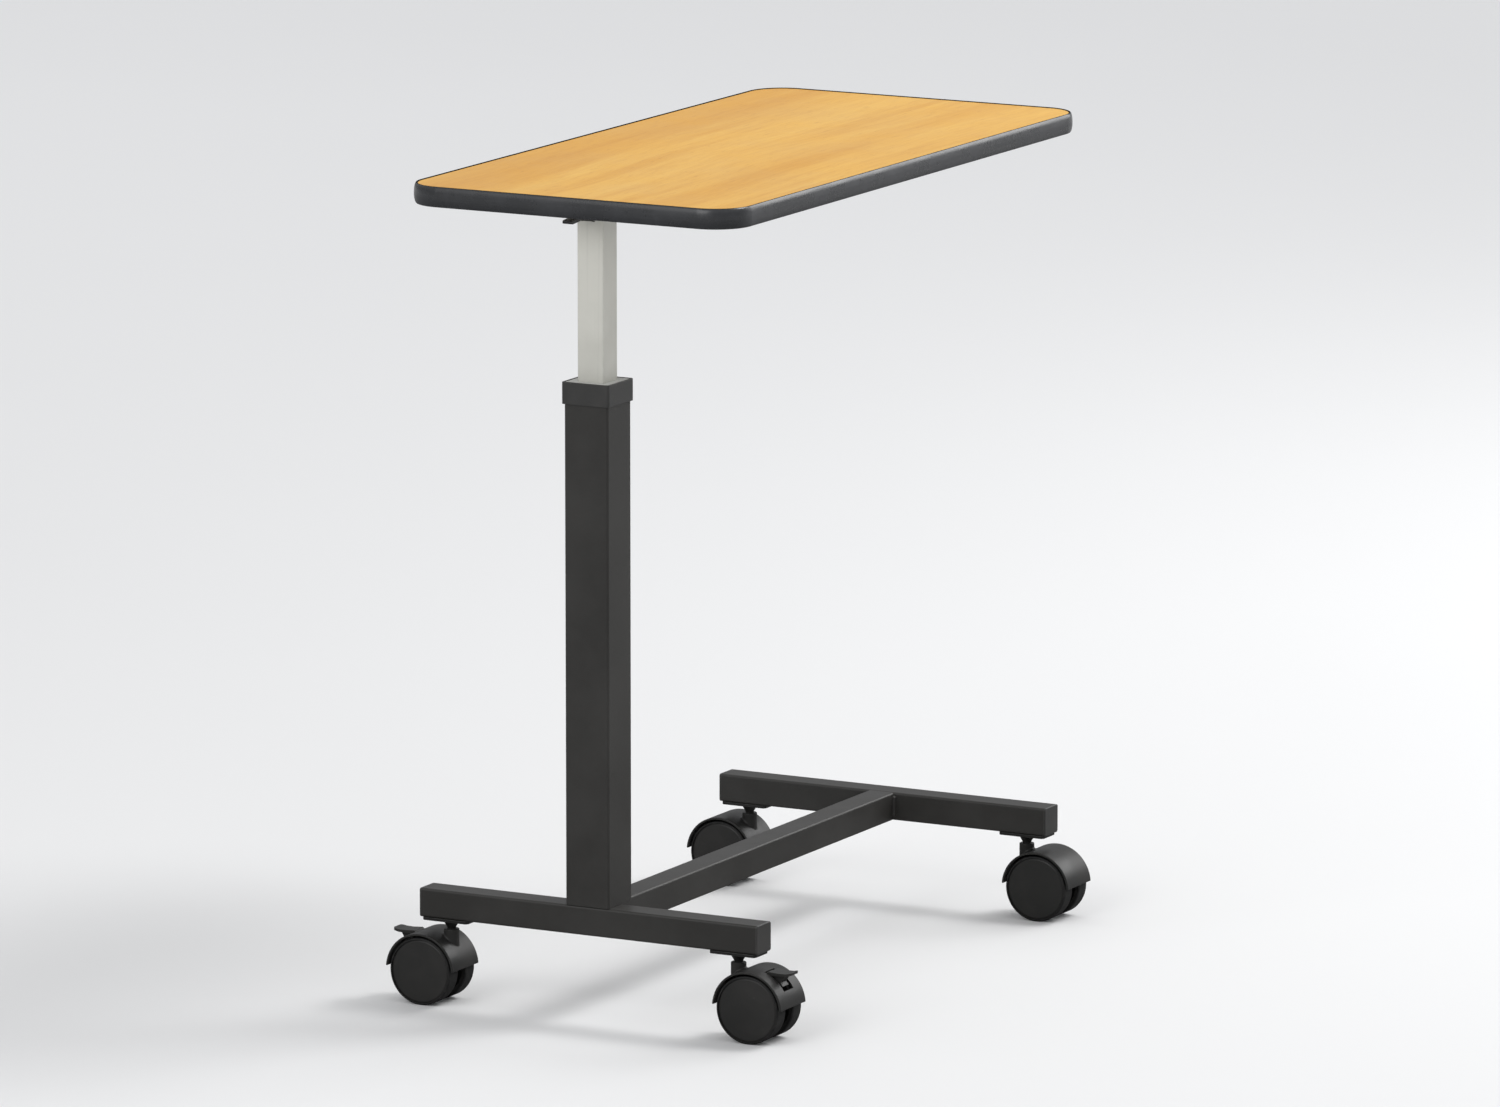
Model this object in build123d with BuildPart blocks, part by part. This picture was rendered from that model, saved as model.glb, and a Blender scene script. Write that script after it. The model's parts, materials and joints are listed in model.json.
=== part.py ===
from build123d import *
from math import cos, radians, sin
import os

# Overbed table: a laminated top carried at one end by a telescopic square column on an H-shaped
# base with four twin-wheel casters. A locking gas spring inside the column holds the height, and
# a lever under the short edge of the top lets it go.
#
# Millimetres. +Z is up from the floor, +Y runs along the top, away from the column's end, and +X
# runs across it. The origin is on the floor, below the middle of the top.

# ---------------------------------------------------------------- driving dimensions

# Clearances: sliding fits, close fits, and how far a cut runs past what it cuts
SLIDING_GAP = 0.1
FITTED_GAP = 0.05
BOLT_PLAY = 0.25
CUT_MARGIN = 1.0

# Top, at the height it rests at
TOP_LENGTH = 788.0
TOP_WIDTH = 380.0
TOP_HEIGHT = 851.0
TOP_THICKNESS = 19.4
TOP_CORNER = 41.0
LAMINATE = 0.8
BUMPER_PROUD = 3.5
BUMPER_RIM = 0.8
BUMPER_CREST = 0.8
BUMPER_FLAT = 1.6
SPINE_THICKNESS = 2.4
SPINE_DEPTH = 9.0
SPINE_GAP = 0.1
SPINE_END_GAP = 0.5

# Column
COLUMN_Y = -326.5
COLUMN_SIZE = 50.0
COLUMN_CORNER = 3.0
COLUMN_WALL = 2.0
COLUMN_TOP = 655.0
COLLAR_SIZE = 54.0
COLLAR_CORNER = 3.0
COLLAR_ROUND = 0.6
COLLAR_BOTTOM = 635.0
COLLAR_TOP = 657.5
BUSHING_FLANGE = 2.0
BUSHING_LENGTH = 60.0
INNER_SIZE = 30.0
INNER_CORNER = 2.0
INNER_WALL = 1.5
INNER_BOTTOM = 337.0
GLIDE_LENGTH = 50.0
GLIDE_LIP = 3.0
NOTCH_PLAY = 1.5

# Base
BAR_SIZE = 30.0
BAR_CORNER = 2.5
BAR_WALL = 1.5
BAR_BOTTOM = 90.0
CROSSBAR_LENGTH = 390.0
CROSSBAR_SPACING = 648.0
CAP_FLANGE = 2.0
CAP_PLUG = 6.0
CAP_WALL = 2.0
CAP_PLUG_CORNER = 2.5
CAP_ROUND = 0.8

# Gas spring
CYLINDER_RADIUS = 11.0
CYLINDER_BORE = 9.5
CYLINDER_TOP = 545.0
CYLINDER_PLUG = 18.0
CYLINDER_ROUND = 0.7
CYLINDER_CLEARANCE = 1.0
GLAND_LENGTH = 10.0
GLAND_INSET = 1.0
ROD_RADIUS = 5.0
ROD_BOTTOM = 313.0
PISTON_LENGTH = 12.0
PISTON_SPIGOT = 3.0
ROD_SHOULDER = 803.0
ROD_THREAD = 4.0
ROD_TOP = 819.0
ROD_HEAD_HEIGHT = 10.0
ROD_HEAD_CHAMFER = 1.0
ROD_NUT_HEIGHT = 5.0
ROD_NUT_ACROSS = 13.0
RELEASE_PIN_RADIUS = 1.25
RELEASE_PIN_LENGTH = 20.0
RELEASE_PIN_PLAY = 0.15
RELEASE_PIN_TRAVEL = 3.0
FOOT_HEIGHT = 8.0
FOOT_BOLT_RADIUS = 4.0
FOOT_BOLT_HEAD_RADIUS = 8.0
FOOT_BOLT_HEAD = 3.4
FOOT_BOLT_REACH = 12.0
FOOT_BOLT_SOCKET = 2.5
FOOT_BOLT_SOCKET_DEPTH = 2.5

# Support channel under the top
CHANNEL_WIDTH = 100.0
CHANNEL_SHEET = 3.0
CHANNEL_DEPTH = 16.0
CHANNEL_BEND = 5.0
CHANNEL_FRONT = -22.0
CHANNEL_BACK = 560.0
FLANGE_START = 22.0
TOP_SCREW_SPREAD = 68.0
TOP_SCREW_STATIONS = (8.0, 180.0, 352.0, 524.0)
TOP_SCREW_RADIUS = 2.0
TOP_SCREW_HEAD_RADIUS = 4.2
TOP_SCREW_HEAD = 2.4
TOP_SCREW_REACH = 11.0
TOP_SCREW_PLAY = 0.3
RECESS_LENGTH = 4.0
RECESS_WIDTH = 0.9
RECESS_DEPTH = 1.3

# Release lever
LEVER_WIDTH = 9.5
LEVER_SHEET = 2.0
LEVER_AXIS_Y = COLUMN_Y - 19.5
LEVER_KNUCKLE = 3.2
LEVER_KNUCKLE_GAP = 0.65
LEVER_JOG_START = 4.2
LEVER_JOG_END = 11.2
LEVER_PIN_RADIUS = 1.5
LEVER_PIN_HEAD_RADIUS = 2.4
LEVER_PIN_HEAD = 1.0
LEVER_INNER_REACH = 22.5
LEVER_TIP_REACH = 40.5
LEVER_RISE = 2.45
LEVER_DROOP = 1.2
GRIP_SKIN = 0.8
GRIP_LENGTH = 15.0
EAR_THICKNESS = 2.0
EAR_LENGTH = 7.0
EAR_PLAY = 0.4

# Casters
CASTER_X = 166.0
TRAIL = 23.0
WHEEL_RADIUS = 35.0
WHEEL_INNER = 8.0
WHEEL_OUTER = 26.0
CORE_RADIUS = 33.0
TYRE_ROUND = 1.6
DISC_RADIUS = 31.0
DISC_DOME = 0.8
DISC_BEVEL = 0.9
DISC_WALL = 3.0
RIM_WALL = 3.0
RIM_INSET = 0.8
HUB_RADIUS = 8.0
AXLE_RADIUS = 4.0
AXLE_HALF_LENGTH = 20.5
AXLE_CHAMFER = 0.5
AXLE_END_GAP = 0.5
HOOD_RADIUS = 39.5
HOOD_WALL = 2.0
HOOD_WIDTH = 54.0
HOOD_TIP = 38.0
HOOD_ROUND = 0.8
HOOD_TIP_ROUND = 0.7
WEB_WIDTH = 14.0
WEB_OUTLINE = ((13, 24), (33, 24), (44, 42), (52, 80))
BOSS_RADIUS = 7.9
BOSS_TOP = 78.0
BOSS_ROOT = 2.0
STEM_RADIUS = 4.5
STEM_BOTTOM = 45.0
STEM_GROOVE = 1.0
WAIST_RADIUS = 5.2
WAIST_BOTTOM = 79.0
WAIST_TOP = 80.5
NECK_RADIUS = 8.2
NECK_LIP = 1.5
CLIP_POCKET_TOP = 50.0
CLIP_RADIUS = 5.8
CLIP_PLAY = 0.2
CLIP_THICKNESS = 1.0
CLIP_Z = 48.0
BOSS_BOTTOM = 44.0
PLATE_LENGTH = 53.0
PLATE_WIDTH = 30.0
PLATE_THICKNESS = 3.0
PLATE_CORNER = 4.0
PLATE_SCREW_SPREAD = 36.0
PLATE_SCREW_RADIUS = 2.4
PLATE_SCREW_HEAD_RADIUS = 4.4
PLATE_SCREW_HEAD = 2.2
PLATE_SCREW_REACH = 9.0
PLATE_SCREW_PLAY = 0.2

# Brake pedals, on the two casters nearest the column. Outlines are drawn about the pivot, x along
# the trail and y up, and angles are about the axle, from the trail upwards.
PEDAL_WIDTH = 19.0
PEDAL_SKIN_WIDTH = 12.5
PEDAL_LEG_WIDTH = 10.0
PEDAL_LEG_PLAY = 0.4
PEDAL_PIVOT = (35.0, 57.0)
PEDAL_TRUNNION = 2.5
PEDAL_TRUNNION_GAP = 0.1
PEDAL_CORNER = 4.0
PEDAL_SKIN_OUTER = 39.0
PEDAL_SKIN_INNER = 37.2
PEDAL_SKIN_START = 38.0
PEDAL_SKIN_END = 71.5
PEDAL_TAB = ((37, 71.8), (39, 73.4), (50, 72.6), (58, 72.8), (64, 74.0), (64, 71.6), (57, 70.0), (41, 69.4))
PEDAL_SPLAY = ((41, 71), (56, 70.8), (51.4, 63.0), (47, 61.0))
PEDAL_LEG = ((32.5, 69.8), (31.5, 55), (38.5, 55), (43, 66), (43, 69))
OPENING_START = 30.5
OPENING_END = 73.5
OPENING_FLOOR = 34.6
OPENING_GAP = 0.7
LEG_SLOT = ((27, 82), (27, 52), (36, 50), (56, 50), (56, 82))

# ---------------------------------------------------------------- derived sizes and places

UNDERSIDE = TOP_HEIGHT - TOP_THICKNESS
BOARD_WIDTH = TOP_WIDTH - 2 * BUMPER_PROUD
BOARD_LENGTH = TOP_LENGTH - 2 * BUMPER_PROUD
BOARD_CORNER = TOP_CORNER - BUMPER_PROUD
BOARD_MIDDLE = TOP_HEIGHT - TOP_THICKNESS / 2
CORE_THICKNESS = TOP_THICKNESS - 2 * LAMINATE
WEB_BOTTOM = UNDERSIDE - CHANNEL_SHEET

BAR_TOP = BAR_BOTTOM + BAR_SIZE
BAR_AXIS_Z = BAR_BOTTOM + BAR_SIZE / 2
NEAR_Y = COLUMN_Y - COLUMN_SIZE / 2 + BAR_SIZE / 2
FAR_Y = NEAR_Y + CROSSBAR_SPACING
TUBE_LENGTH = CROSSBAR_LENGTH - 2 * CAP_FLANGE
PLATE_BOTTOM = BAR_BOTTOM - PLATE_THICKNESS

COLUMN_BORE = COLUMN_SIZE - 2 * COLUMN_WALL
BORE_CORNER = COLUMN_CORNER - COLUMN_WALL
INNER_BORE = INNER_SIZE - 2 * INNER_WALL
CYLINDER_BOTTOM = BAR_TOP + FOOT_HEIGHT
LEVER_AXIS_Z = WEB_BOTTOM - LEVER_KNUCKLE - LEVER_KNUCKLE_GAP
RELEASE_PIN_TOP = LEVER_AXIS_Z - LEVER_SHEET / 2 - RELEASE_PIN_PLAY

TOP_SCREWS = [
    (side * TOP_SCREW_SPREAD / 2, COLUMN_Y + station)
    for station in TOP_SCREW_STATIONS
    for side in (-1, 1)
]
PIVOTS = [(side * CASTER_X, y) for y in (NEAR_Y, FAR_Y) for side in (-1, 1)]
PLATE_SCREWS = [
    (x + side * PLATE_SCREW_SPREAD / 2, y) for x, y in PIVOTS for side in (-1, 1)
]

COLUMN_AXIS = (0, COLUMN_Y)


def level(height, centre=(0, 0)):
    """A horizontal plane at that height, with its origin over the given point."""
    return Plane(origin=(centre[0], centre[1], height))


def square_tube(size, corner, wall):
    """Adds a hollow square with rounded corners to the sketch being built."""
    bore = size - 2 * wall
    RectangleRounded(size, size, corner)
    RectangleRounded(bore, bore, corner - wall, mode=Mode.SUBTRACT)


def cross_recess():
    """Adds the outline of a screwdriver's cross to the sketch being built."""
    Rectangle(RECESS_LENGTH, RECESS_WIDTH)
    Rectangle(RECESS_WIDTH, RECESS_LENGTH)


os.makedirs("parts", exist_ok=True)

# ---------------------------------------------------------------- top: board and bumper

with BuildPart() as tabletop_core:
    with BuildSketch(level(UNDERSIDE + LAMINATE)):
        RectangleRounded(BOARD_WIDTH, BOARD_LENGTH, BOARD_CORNER)
    extrude(amount=CORE_THICKNESS)
    # groove round the edge for the bumper's spine
    groove_height = SPINE_THICKNESS + 2 * SPINE_GAP
    groove_depth = SPINE_DEPTH + SPINE_END_GAP
    with BuildSketch(level(BOARD_MIDDLE - groove_height / 2)):
        RectangleRounded(BOARD_WIDTH, BOARD_LENGTH, BOARD_CORNER)
        RectangleRounded(
            BOARD_WIDTH - 2 * groove_depth,
            BOARD_LENGTH - 2 * groove_depth,
            BOARD_CORNER - groove_depth,
            mode=Mode.SUBTRACT,
        )
    extrude(amount=groove_height, mode=Mode.SUBTRACT)
    # pilot holes for the channel's screws
    with BuildSketch(level(UNDERSIDE)):
        with Locations(*TOP_SCREWS):
            Circle(TOP_SCREW_RADIUS + FITTED_GAP)
    extrude(amount=TOP_SCREW_REACH + SPINE_END_GAP, mode=Mode.SUBTRACT)
tabletop_core.part.label = "tabletop_core"
export_step(tabletop_core.part, "parts/tabletop_core.step")

with BuildPart() as top_laminate:
    with BuildSketch(level(TOP_HEIGHT - LAMINATE)):
        RectangleRounded(BOARD_WIDTH, BOARD_LENGTH, BOARD_CORNER)
    extrude(amount=LAMINATE)
top_laminate.part.label = "top_laminate"
export_step(top_laminate.part, "parts/top_laminate.step")

with BuildPart() as backing_laminate:
    with BuildSketch(level(UNDERSIDE)):
        RectangleRounded(BOARD_WIDTH, BOARD_LENGTH, BOARD_CORNER)
        with Locations(*TOP_SCREWS):
            Circle(TOP_SCREW_RADIUS + FITTED_GAP, mode=Mode.SUBTRACT)
    extrude(amount=LAMINATE)
backing_laminate.part.label = "backing_laminate"
export_step(backing_laminate.part, "parts/backing_laminate.step")

# T-section bumper, pressed into the groove: its path starts halfway along the right-hand edge
with BuildLine(level(BOARD_MIDDLE)) as board_edge:
    edge_x = BOARD_WIDTH / 2
    edge_y = BOARD_LENGTH / 2
    bend_x = edge_x - BOARD_CORNER
    bend_y = edge_y - BOARD_CORNER
    Line((edge_x, 0), (edge_x, bend_y))
    CenterArc((bend_x, bend_y), BOARD_CORNER, 0, 90)
    Line((bend_x, edge_y), (-bend_x, edge_y))
    CenterArc((-bend_x, bend_y), BOARD_CORNER, 90, 90)
    Line((-edge_x, bend_y), (-edge_x, -bend_y))
    CenterArc((-bend_x, -bend_y), BOARD_CORNER, 180, 90)
    Line((-bend_x, -edge_y), (bend_x, -edge_y))
    CenterArc((bend_x, -bend_y), BOARD_CORNER, 270, 90)
    Line((edge_x, -bend_y), (edge_x, 0))

with BuildPart() as edge_bumper:
    with BuildSketch(Plane(origin=(edge_x, 0, BOARD_MIDDLE), x_dir=(1, 0, 0), z_dir=(0, -1, 0))):
        with BuildLine():
            top = TOP_THICKNESS / 2
            rim = top + BUMPER_RIM
            turn = BUMPER_FLAT / 2
            shoulder = BUMPER_PROUD - BUMPER_CREST
            upper = [
                EllipticalCenterArc((BUMPER_CREST, top), BUMPER_CREST, BUMPER_RIM, 90, arc_size=90),
                EllipticalCenterArc((BUMPER_CREST, turn), shoulder, rim - turn, 0, arc_size=90),
            ]
            mirror(upper, about=Plane.XZ)
            Line((BUMPER_PROUD, turn), (BUMPER_PROUD, -turn))
            Line((0, -top), (0, top))
        make_face()
        with Locations((-SPINE_DEPTH / 2, 0)):
            Rectangle(SPINE_DEPTH, SPINE_THICKNESS)
    sweep(path=board_edge.wires()[0])
edge_bumper.part.label = "edge_bumper"
export_step(edge_bumper.part, "parts/edge_bumper.step")

# ---------------------------------------------------------------- top: support channel

channel_length = CHANNEL_BACK - CHANNEL_FRONT
with BuildPart() as support_channel:
    front_plane = Plane(
        origin=(0, COLUMN_Y + CHANNEL_FRONT, UNDERSIDE), x_dir=(1, 0, 0), z_dir=(0, -1, 0)
    )
    with BuildSketch(front_plane) as channel_section:
        with Locations((0, -CHANNEL_DEPTH / 2)):
            Rectangle(CHANNEL_WIDTH, CHANNEL_DEPTH)
        outer_bends = channel_section.vertices().group_by(Axis.Z)[-1]
        fillet(outer_bends, radius=CHANNEL_BEND)
        inner_width = CHANNEL_WIDTH - 2 * CHANNEL_SHEET
        inner_depth = CHANNEL_DEPTH - CHANNEL_SHEET
        with BuildSketch(front_plane, mode=Mode.SUBTRACT) as channel_hollow:
            with Locations((0, -CHANNEL_SHEET - inner_depth / 2)):
                Rectangle(inner_width, inner_depth)
            fillet(channel_hollow.vertices().group_by(Axis.Z)[-1], radius=CHANNEL_BEND - CHANNEL_SHEET)
    extrude(amount=-channel_length)
    # the flanges start behind the column, with slanted ends
    with BuildSketch(Plane(origin=(0, COLUMN_Y, UNDERSIDE), x_dir=(0, 1, 0), z_dir=(1, 0, 0))):
        Polygon(
            (CHANNEL_FRONT - CUT_MARGIN, -CHANNEL_SHEET),
            (FLANGE_START, -CHANNEL_SHEET),
            (FLANGE_START + 2 * CHANNEL_DEPTH, -CHANNEL_DEPTH),
            (FLANGE_START + 2 * CHANNEL_DEPTH, -CHANNEL_DEPTH - CUT_MARGIN),
            (CHANNEL_FRONT - CUT_MARGIN, -CHANNEL_DEPTH - CUT_MARGIN),
            align=None,
        )
    extrude(amount=CHANNEL_WIDTH, both=True, mode=Mode.SUBTRACT)
    with BuildSketch(level(WEB_BOTTOM)):
        with Locations(*TOP_SCREWS):
            Circle(TOP_SCREW_RADIUS + TOP_SCREW_PLAY)
    extrude(amount=CHANNEL_SHEET, mode=Mode.SUBTRACT)
support_channel.part.label = "support_channel"
export_step(support_channel.part, "parts/support_channel.step")

with BuildPart() as channel_screws:
    with BuildSketch(level(WEB_BOTTOM - TOP_SCREW_HEAD)):
        with Locations(*TOP_SCREWS):
            Circle(TOP_SCREW_HEAD_RADIUS)
    extrude(amount=TOP_SCREW_HEAD)
    head_rims = channel_screws.edges().group_by(Axis.Z)[0]
    fillet(head_rims, radius=TOP_SCREW_HEAD / 2)
    with BuildSketch(level(WEB_BOTTOM)):
        with Locations(*TOP_SCREWS):
            Circle(TOP_SCREW_RADIUS)
    extrude(amount=CHANNEL_SHEET + TOP_SCREW_REACH)
    # cross recess in each head
    with BuildSketch(level(WEB_BOTTOM - TOP_SCREW_HEAD)):
        with Locations(*TOP_SCREWS):
            cross_recess()
    extrude(amount=RECESS_DEPTH, mode=Mode.SUBTRACT)
channel_screws.part.label = "channel_screws"
export_step(channel_screws.part, "parts/channel_screws.step")

# ---------------------------------------------------------------- column

with BuildPart() as outer_column:
    with BuildSketch(level(BAR_TOP, COLUMN_AXIS)):
        square_tube(COLUMN_SIZE, COLUMN_CORNER, COLUMN_WALL)
    extrude(amount=COLUMN_TOP - BAR_TOP)
outer_column.part.label = "outer_column"
export_step(outer_column.part, "parts/outer_column.step")

bushing_bore = INNER_SIZE + 2 * SLIDING_GAP
bushing_bore_corner = INNER_CORNER + SLIDING_GAP
with BuildPart() as column_bushing:
    with BuildSketch(level(COLUMN_TOP, COLUMN_AXIS)):
        flange_size = COLUMN_SIZE - 2 * FITTED_GAP
        RectangleRounded(flange_size, flange_size, COLUMN_CORNER)
        RectangleRounded(bushing_bore, bushing_bore, bushing_bore_corner, mode=Mode.SUBTRACT)
    extrude(amount=BUSHING_FLANGE)
    with BuildSketch(level(COLUMN_TOP - BUSHING_LENGTH, COLUMN_AXIS)):
        skirt_size = COLUMN_BORE - 2 * FITTED_GAP
        RectangleRounded(skirt_size, skirt_size, BORE_CORNER)
        RectangleRounded(bushing_bore, bushing_bore, bushing_bore_corner, mode=Mode.SUBTRACT)
    extrude(amount=BUSHING_LENGTH)
column_bushing.part.label = "column_bushing"
export_step(column_bushing.part, "parts/column_bushing.step")

with BuildPart() as column_collar:
    with BuildSketch(level(COLLAR_BOTTOM, COLUMN_AXIS)):
        collar_bore = COLUMN_SIZE + 2 * FITTED_GAP
        RectangleRounded(COLLAR_SIZE, COLLAR_SIZE, COLLAR_CORNER)
        RectangleRounded(collar_bore, collar_bore, COLUMN_CORNER, mode=Mode.SUBTRACT)
    extrude(amount=COLLAR_TOP - COLLAR_BOTTOM)
    fillet(column_collar.edges().group_by(Axis.Z)[-1].sort_by(SortBy.LENGTH)[-4:], radius=COLLAR_ROUND)
column_collar.part.label = "column_collar"
export_step(column_collar.part, "parts/column_collar.step")

with BuildPart() as inner_tube:
    with BuildSketch(level(INNER_BOTTOM, COLUMN_AXIS)):
        square_tube(INNER_SIZE, INNER_CORNER, INNER_WALL)
    extrude(amount=WEB_BOTTOM - INNER_BOTTOM)
    # notch in the front wall, where the release lever goes in
    notch_width = LEVER_WIDTH + NOTCH_PLAY
    with BuildSketch(level(LEVER_AXIS_Z - 2 * LEVER_SHEET, (0, COLUMN_Y - INNER_SIZE / 2))):
        Rectangle(notch_width, 3 * INNER_WALL)
    extrude(amount=WEB_BOTTOM - LEVER_AXIS_Z + 2 * LEVER_SHEET, mode=Mode.SUBTRACT)
inner_tube.part.label = "inner_tube"
export_step(inner_tube.part, "parts/inner_tube.step")

with BuildPart() as lower_glide:
    glide_size = COLUMN_BORE - 2 * SLIDING_GAP
    glide_bore = INNER_SIZE + 2 * FITTED_GAP
    with BuildSketch(level(INNER_BOTTOM - GLIDE_LIP, COLUMN_AXIS)):
        RectangleRounded(glide_size, glide_size, BORE_CORNER)
    extrude(amount=GLIDE_LENGTH + GLIDE_LIP)
    with BuildSketch(level(INNER_BOTTOM, COLUMN_AXIS)):
        RectangleRounded(glide_bore, glide_bore, INNER_CORNER)
    extrude(amount=GLIDE_LENGTH, mode=Mode.SUBTRACT)
    with BuildSketch(level(INNER_BOTTOM - GLIDE_LIP, COLUMN_AXIS)):
        Circle(CYLINDER_RADIUS + CYLINDER_CLEARANCE)
    extrude(amount=GLIDE_LIP, mode=Mode.SUBTRACT)
lower_glide.part.label = "lower_glide"
export_step(lower_glide.part, "parts/lower_glide.step")

# ---------------------------------------------------------------- gas spring

with BuildPart() as gas_cylinder:
    with BuildSketch(level(CYLINDER_BOTTOM, COLUMN_AXIS)):
        Circle(CYLINDER_RADIUS)
    extrude(amount=CYLINDER_TOP - CYLINDER_BOTTOM)
    with BuildSketch(level(CYLINDER_BOTTOM + CYLINDER_PLUG, COLUMN_AXIS)):
        Circle(CYLINDER_BORE)
    extrude(amount=CYLINDER_TOP - CYLINDER_BOTTOM - CYLINDER_PLUG, mode=Mode.SUBTRACT)
    with BuildSketch(level(CYLINDER_BOTTOM, COLUMN_AXIS)):
        Circle(FOOT_BOLT_RADIUS + FITTED_GAP)
    extrude(amount=FOOT_BOLT_REACH + CUT_MARGIN, mode=Mode.SUBTRACT)
    outer_edges = gas_cylinder.edges().filter_by(GeomType.CIRCLE).sort_by(SortBy.RADIUS)[-2:]
    fillet(outer_edges, radius=CYLINDER_ROUND)
gas_cylinder.part.label = "gas_cylinder"
export_step(gas_cylinder.part, "parts/gas_cylinder.step")

with BuildPart() as gas_gland:
    with BuildSketch(level(CYLINDER_TOP - GLAND_LENGTH - GLAND_INSET, COLUMN_AXIS)):
        Circle(CYLINDER_BORE - FITTED_GAP)
        Circle(ROD_RADIUS + FITTED_GAP, mode=Mode.SUBTRACT)
    extrude(amount=GLAND_LENGTH)
gas_gland.part.label = "gas_gland"
export_step(gas_gland.part, "parts/gas_gland.step")

with BuildPart() as gas_rod:
    with BuildSketch(level(ROD_BOTTOM, COLUMN_AXIS)):
        Circle(PISTON_SPIGOT)
    extrude(amount=PISTON_LENGTH)
    with BuildSketch(level(ROD_BOTTOM + PISTON_LENGTH, COLUMN_AXIS)):
        Circle(ROD_RADIUS)
    extrude(amount=ROD_SHOULDER - ROD_BOTTOM - PISTON_LENGTH)
    with BuildSketch(level(ROD_SHOULDER, COLUMN_AXIS)):
        Circle(ROD_THREAD)
    extrude(amount=ROD_TOP - ROD_SHOULDER)
    # bore for the release pin, deeper than the pin by its travel
    bore_bottom = RELEASE_PIN_TOP - RELEASE_PIN_LENGTH - RELEASE_PIN_TRAVEL
    with BuildSketch(level(bore_bottom, COLUMN_AXIS)):
        Circle(RELEASE_PIN_RADIUS + FITTED_GAP)
    extrude(amount=ROD_TOP - bore_bottom, mode=Mode.SUBTRACT)
gas_rod.part.label = "gas_rod"
export_step(gas_rod.part, "parts/gas_rod.step")

with BuildPart() as gas_piston:
    with BuildSketch(level(ROD_BOTTOM, COLUMN_AXIS)):
        Circle(CYLINDER_BORE - FITTED_GAP)
        Circle(PISTON_SPIGOT, mode=Mode.SUBTRACT)
    extrude(amount=PISTON_LENGTH)
gas_piston.part.label = "gas_piston"
export_step(gas_piston.part, "parts/gas_piston.step")

with BuildPart() as rod_head:
    with BuildSketch(level(ROD_SHOULDER, COLUMN_AXIS)):
        head_size = INNER_BORE - 2 * FITTED_GAP
        Rectangle(head_size, head_size)
        Circle(ROD_THREAD + FITTED_GAP, mode=Mode.SUBTRACT)
    extrude(amount=ROD_HEAD_HEIGHT)
    chamfer(rod_head.edges().filter_by(Axis.Z), length=ROD_HEAD_CHAMFER)
rod_head.part.label = "rod_head"
export_step(rod_head.part, "parts/rod_head.step")

with BuildPart() as rod_nut:
    with BuildSketch(level(ROD_SHOULDER + ROD_HEAD_HEIGHT, COLUMN_AXIS)):
        RegularPolygon(ROD_NUT_ACROSS / 2, 6, major_radius=False)
        Circle(ROD_THREAD + FITTED_GAP, mode=Mode.SUBTRACT)
    extrude(amount=ROD_NUT_HEIGHT)
rod_nut.part.label = "rod_nut"
export_step(rod_nut.part, "parts/rod_nut.step")

with BuildPart() as release_pin:
    with BuildSketch(level(RELEASE_PIN_TOP - RELEASE_PIN_LENGTH, COLUMN_AXIS)):
        Circle(RELEASE_PIN_RADIUS)
    extrude(amount=RELEASE_PIN_LENGTH)
release_pin.part.label = "release_pin"
export_step(release_pin.part, "parts/release_pin.step")

with BuildPart() as column_foot:
    with BuildSketch(level(BAR_TOP, COLUMN_AXIS)):
        foot_size = COLUMN_BORE - 2 * FITTED_GAP
        RectangleRounded(foot_size, foot_size, BORE_CORNER)
        Circle(FOOT_BOLT_RADIUS + BOLT_PLAY, mode=Mode.SUBTRACT)
    extrude(amount=FOOT_HEIGHT)
column_foot.part.label = "column_foot"
export_step(column_foot.part, "parts/column_foot.step")

with BuildPart() as foot_bolt:
    with BuildSketch(level(BAR_BOTTOM - FOOT_BOLT_HEAD, COLUMN_AXIS)):
        Circle(FOOT_BOLT_HEAD_RADIUS)
    extrude(amount=FOOT_BOLT_HEAD)
    fillet(foot_bolt.edges().group_by(Axis.Z)[0], radius=FOOT_BOLT_HEAD / 2)
    with BuildSketch(level(BAR_BOTTOM, COLUMN_AXIS)):
        Circle(FOOT_BOLT_RADIUS)
    extrude(amount=BAR_SIZE + FOOT_HEIGHT + FOOT_BOLT_REACH)
    # hexagon socket
    with BuildSketch(level(BAR_BOTTOM - FOOT_BOLT_HEAD, COLUMN_AXIS)):
        RegularPolygon(FOOT_BOLT_SOCKET, 6, major_radius=False)
    extrude(amount=FOOT_BOLT_SOCKET_DEPTH, mode=Mode.SUBTRACT)
foot_bolt.part.label = "foot_bolt"
export_step(foot_bolt.part, "parts/foot_bolt.step")

# ---------------------------------------------------------------- release lever

lever_plane = Plane(origin=(0, LEVER_AXIS_Y, LEVER_AXIS_Z), x_dir=(0, -1, 0), z_dir=(-1, 0, 0))

with BuildPart() as release_lever:
    with BuildSketch(lever_plane):
        # the bent strip's middle line, from over the release pin out to the tip
        with BuildLine():
            Polyline(
                (-LEVER_INNER_REACH, 0),
                (LEVER_JOG_START, 0),
                (LEVER_JOG_END, LEVER_RISE),
                (LEVER_TIP_REACH - GRIP_LENGTH, LEVER_RISE),
                (LEVER_TIP_REACH, LEVER_RISE - LEVER_DROOP),
            )
        trace(line_width=LEVER_SHEET)
        Circle(LEVER_KNUCKLE)
        Circle(LEVER_PIN_RADIUS + FITTED_GAP, mode=Mode.SUBTRACT)
    extrude(amount=LEVER_WIDTH / 2, both=True)
release_lever.part.label = "release_lever"
export_step(release_lever.part, "parts/release_lever.step")

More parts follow.
